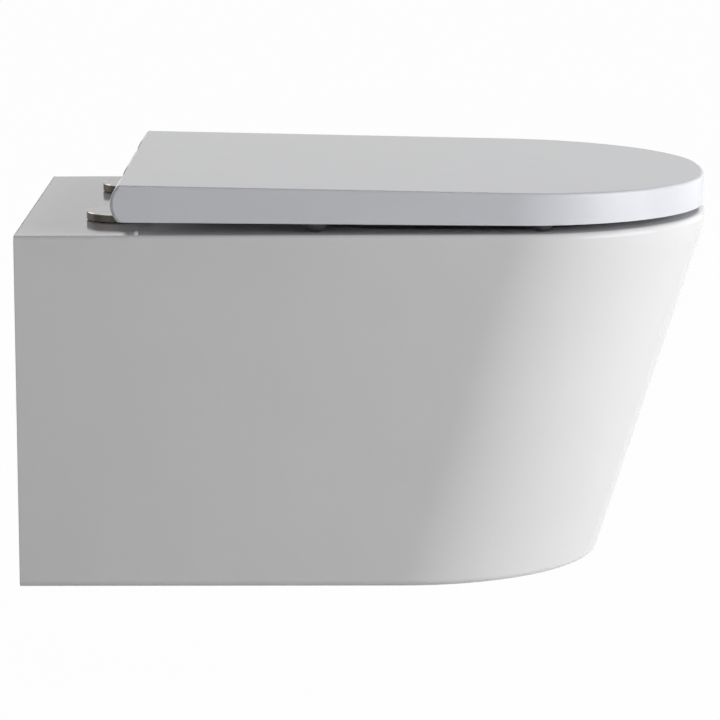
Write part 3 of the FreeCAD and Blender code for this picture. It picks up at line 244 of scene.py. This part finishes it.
CHROME = (0.52, 0.52, 0.52, 1)
CHROME_GRAZING = (0.66, 0.655, 0.65, 1)
# Below its top the disc's side is painted near black: painted shade, for the dark gap that the
# disc sits in just off the deck.
DISC_SIDE_PAINTED_SHADE = (0.09, 0.078, 0.066, 1)
DISC_SIDE_DEPTH, DISC_TOP_DEPTH = 0.0014, 0.0004
SIDE_ROUGHNESS, TOP_SMOOTHER_BY, DISC_POLISHING = 0.24, 0.17, 0.06
disc_finish_painted_shade, shader, place = new_finish("chrome_disc_painted_shade", {"Metallic": 1.0,
                                                        "Specular Tint": CHROME_GRAZING})
disc_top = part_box("hinge_disc_left")[1][2]
# The top keeps the chrome colour, and the side takes the painted shade and a rougher finish.
on_top = place.part("Z").between(disc_top - DISC_SIDE_DEPTH, disc_top - DISC_TOP_DEPTH)
on_top.blend(DISC_SIDE_PAINTED_SHADE, CHROME).into(shader, "Base Color")
(SIDE_ROUGHNESS - TOP_SMOOTHER_BY * on_top
 + DISC_POLISHING * polishing(place)).into(shader, "Roughness")
paint(both("hinge_disc"), disc_finish_painted_shade)


# The hinge's lift-off half: chromed housings that drop over the posts and hold on by wire clips,
# which the push buttons spread against coil springs. Each has a damper, and a pin in a nylon bush.
CHROME_DULL = (0.49, 0.49, 0.495, 1)
CHROME_ROUGHNESS, SCUFF_ROUGHNESS = 0.05, 0.08
chrome, shader, place = new_finish("chrome_plate", {"Metallic": 1.0})
dull = place.noise(per_metre=40.0).between(0.3, 0.7)
dull.blend(CHROME, CHROME_DULL).into(shader, "Base Color")
scuffs = polishing(place).between(0.5, 0.8)
(CHROME_ROUGHNESS + SCUFF_ROUGHNESS * scuffs).into(shader, "Roughness")
paint(both("hinge_housing") + both("release_button"), chrome)
paint(["lid_damper", "seat_damper", "lid_pin_bush", "seat_pin_bush"], nylon)
paint(both("retaining_clip") + both("button_spring")
      + ["lid_damper_shaft", "seat_damper_shaft", "lid_pin", "seat_pin"], steel)

for side, fixed_end in (("left", 0), ("right", 1)):
    node = "button_spring_" + side
    coil = bpy.data.objects.new("coil_" + side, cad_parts[node].data.copy())
    bpy.context.scene.collection.objects.link(coil)
    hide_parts(node)
    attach(coil, "hinge_set")
    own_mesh(coil)


# The seat and the wrap-over lid: compression-moulded thermoset, hard and glossy like the glaze
# but a shade cooler and duller underneath, each with bumpers plugged into its underside.
THERMOSET = (0.79, 0.80, 0.845, 1)
THERMOSET_SHADE = (0.78, 0.79, 0.835, 1)
MOULD_ROUGHNESS, MOULD_DRIFT, UNDERSIDE_ROUGHNESS = 0.13, 0.04, 0.35
MOULD_RIPPLE, MOULD_DEPTH, WAVE_PER_GRAIN = 0.05, 0.0005, 5.0
thermoset, shader, place = new_finish("white_thermoset", {"IOR": 1.5,
                                                          "Specular IOR Level": 0.3})
shade = place.noise(per_metre=7.0).between(0.3, 0.7)
shade.blend(THERMOSET, THERMOSET_SHADE).into(shader, "Base Color")
drift = place.noise(per_metre=30.0, detail=3.0)
underside = 1 - place.beside("Normal").part("Z").between(-0.5, -0.2)
(MOULD_ROUGHNESS + MOULD_DRIFT * drift
 + UNDERSIDE_ROUGHNESS * underside).into(shader, "Roughness")
mould_grain = place.noise(per_metre=420.0)
wave = place.noise(per_metre=11.0)
(mould_grain + WAVE_PER_GRAIN * wave).bump(MOULD_RIPPLE, MOULD_DEPTH).into(shader, "Normal")
paint(["lid", "seat"], thermoset)

BUMPER_GREY = (0.08, 0.08, 0.082, 1)
bumper, shader, place = new_finish("bumper_rubber", {"Base Color": BUMPER_GREY, "IOR": 1.5})
roughen(shader, place, least=0.5, swing=0.1, per_metre=200.0)
paint(["seat_pads"], bumper)
paint(["lid_pads"], satin)


# The studio: a pale floor below the hanging pan, a white surround and softboxes all round, of
# which the brightest is off the nose, so that the side is a soft grey and the nose nearly white.
def sight(wire):
    """In a wire's tree, 1 for rays that see the studio: straight, in gloss or through glass."""
    straight = wire.node("LightPath", (), (), "Is Camera Ray")
    return straight + straight.beside("Is Glossy Ray") + straight.beside("Is Transmission Ray")


WHITE = (1, 1, 1, 1)
FLOOR_BELOW_DECK = 0.40
FLOOR_HALF = 9.0
FLOOR_PALE = (0.62, 0.62, 0.62, 1)
FLOOR_SHOWN = 0.985
deck_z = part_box("hinge_gasket_left")[0][2]
floor_mesh = bpy.data.meshes.new("studio_floor")
floor_mesh.from_pydata([(x * FLOOR_HALF, y * FLOOR_HALF, deck_z - FLOOR_BELOW_DECK)
                        for x, y in ((-1, -1), (1, -1), (1, 1), (-1, 1))], [], [(0, 1, 2, 3)])
floor = bpy.data.objects.new("studio_floor", floor_mesh)
bpy.context.scene.collection.objects.link(floor)
floor_finish, shader, place = new_finish("pale_floor", {"Base Color": FLOOR_PALE,
                                                        "Roughness": 0.9})
glow = place.node("Emission", (), {"Color": WHITE, "Strength": 1.0})
mixed = place.node("MixShader", (), {0: sight(place) * FLOOR_SHOWN,
                                     1: Wire(shader.outputs[0]), 2: glow})
mixed.into(floor_finish.node_tree.nodes["Material Output"], "Surface")
floor_mesh.materials.append(floor_finish)

SURROUND = 0.02
world = bpy.data.worlds.new("studio_surround")
bpy.context.scene.world = world
world.use_nodes = True
background = world.node_tree.nodes["Background"]
background.inputs["Color"].default_value = WHITE
plain = sight(Wire(background.outputs[0]))
(SURROUND + (1 - SURROUND) * plain).into(background, "Strength")

PAN_MIDDLE = np.array([0.0, -0.27, 0.0])
SOFTBOX_DISTANCE, SOFTBOX_WIDTH, SOFTBOX_HEIGHT = 3.0, 2.2, 2.6
NOSE_LIGHT = 66.0
SHOULDER_LIGHT = 28.0
REAR_LIGHT = 9.0
BACK_LIGHT = 22.0
FAR_LIGHT = 11.0


def stand(thing, right, up, back, at):
    """Turns a lamp or a camera so that its X, Y and Z lie along three axes, and moves it."""
    for column, axis in enumerate((right, up, back)):
        for row in range(3):
            thing.matrix_world[row][column] = axis[row]
    thing.location = at


def softbox(name, toward, power):
    """A rectangular lamp that faces the pan's middle from a direction."""
    lamp = bpy.data.lights.new(name, "AREA")
    lamp.shape, lamp.size, lamp.size_y = "RECTANGLE", SOFTBOX_WIDTH, SOFTBOX_HEIGHT
    lamp.energy = power
    box = bpy.data.objects.new(name, lamp)
    bpy.context.scene.collection.objects.link(box)
    back = np.array(toward) / np.linalg.norm(toward)
    right = np.cross((0, 0, 1), back)
    right = right / np.linalg.norm(right)
    stand(box, right, np.cross(back, right), back, PAN_MIDDLE + back * SOFTBOX_DISTANCE)


softbox("nose_softbox", (-0.38, -1.0, 0.18), NOSE_LIGHT)
softbox("shoulder_softbox", (-0.7, -1.0, 0.3), SHOULDER_LIGHT)
softbox("rear_softbox", (-1.0, 0.9, 0.3), REAR_LIGHT)
softbox("back_softbox", (0.55, 1.0, 0.22), BACK_LIGHT)
softbox("far_softbox", (0.9, -1.0, 0.3), FAR_LIGHT)


# The camera: a long lens over three metres off the pan's side, one degree from square to it and
# looking down on it by ten. Its angles are in radians, and the lens and sensor in millimetres.
LENS, SENSOR = 208.19, 36.0
CAMERA_AT = (-3.3285, -0.3175, 0.5455)
YAW, PITCH, ROLL = 0.0167, 0.1735, -0.0049
camera = bpy.data.objects.new("camera", bpy.data.cameras.new("camera"))
bpy.context.scene.collection.objects.link(camera)
camera.data.lens, camera.data.sensor_width = LENS, SENSOR
ahead = np.array([math.cos(YAW) * math.cos(PITCH), math.sin(YAW) * math.cos(PITCH),
                  -math.sin(PITCH)])
right = np.array([math.sin(YAW), -math.cos(YAW), 0.0])
up = np.cross(right, ahead)
stand(camera, right * math.cos(ROLL) + up * math.sin(ROLL),
      -right * math.sin(ROLL) + up * math.cos(ROLL), -ahead, CAMERA_AT)
bpy.context.scene.camera = camera
bpy.context.scene.view_settings.view_transform = "Standard"
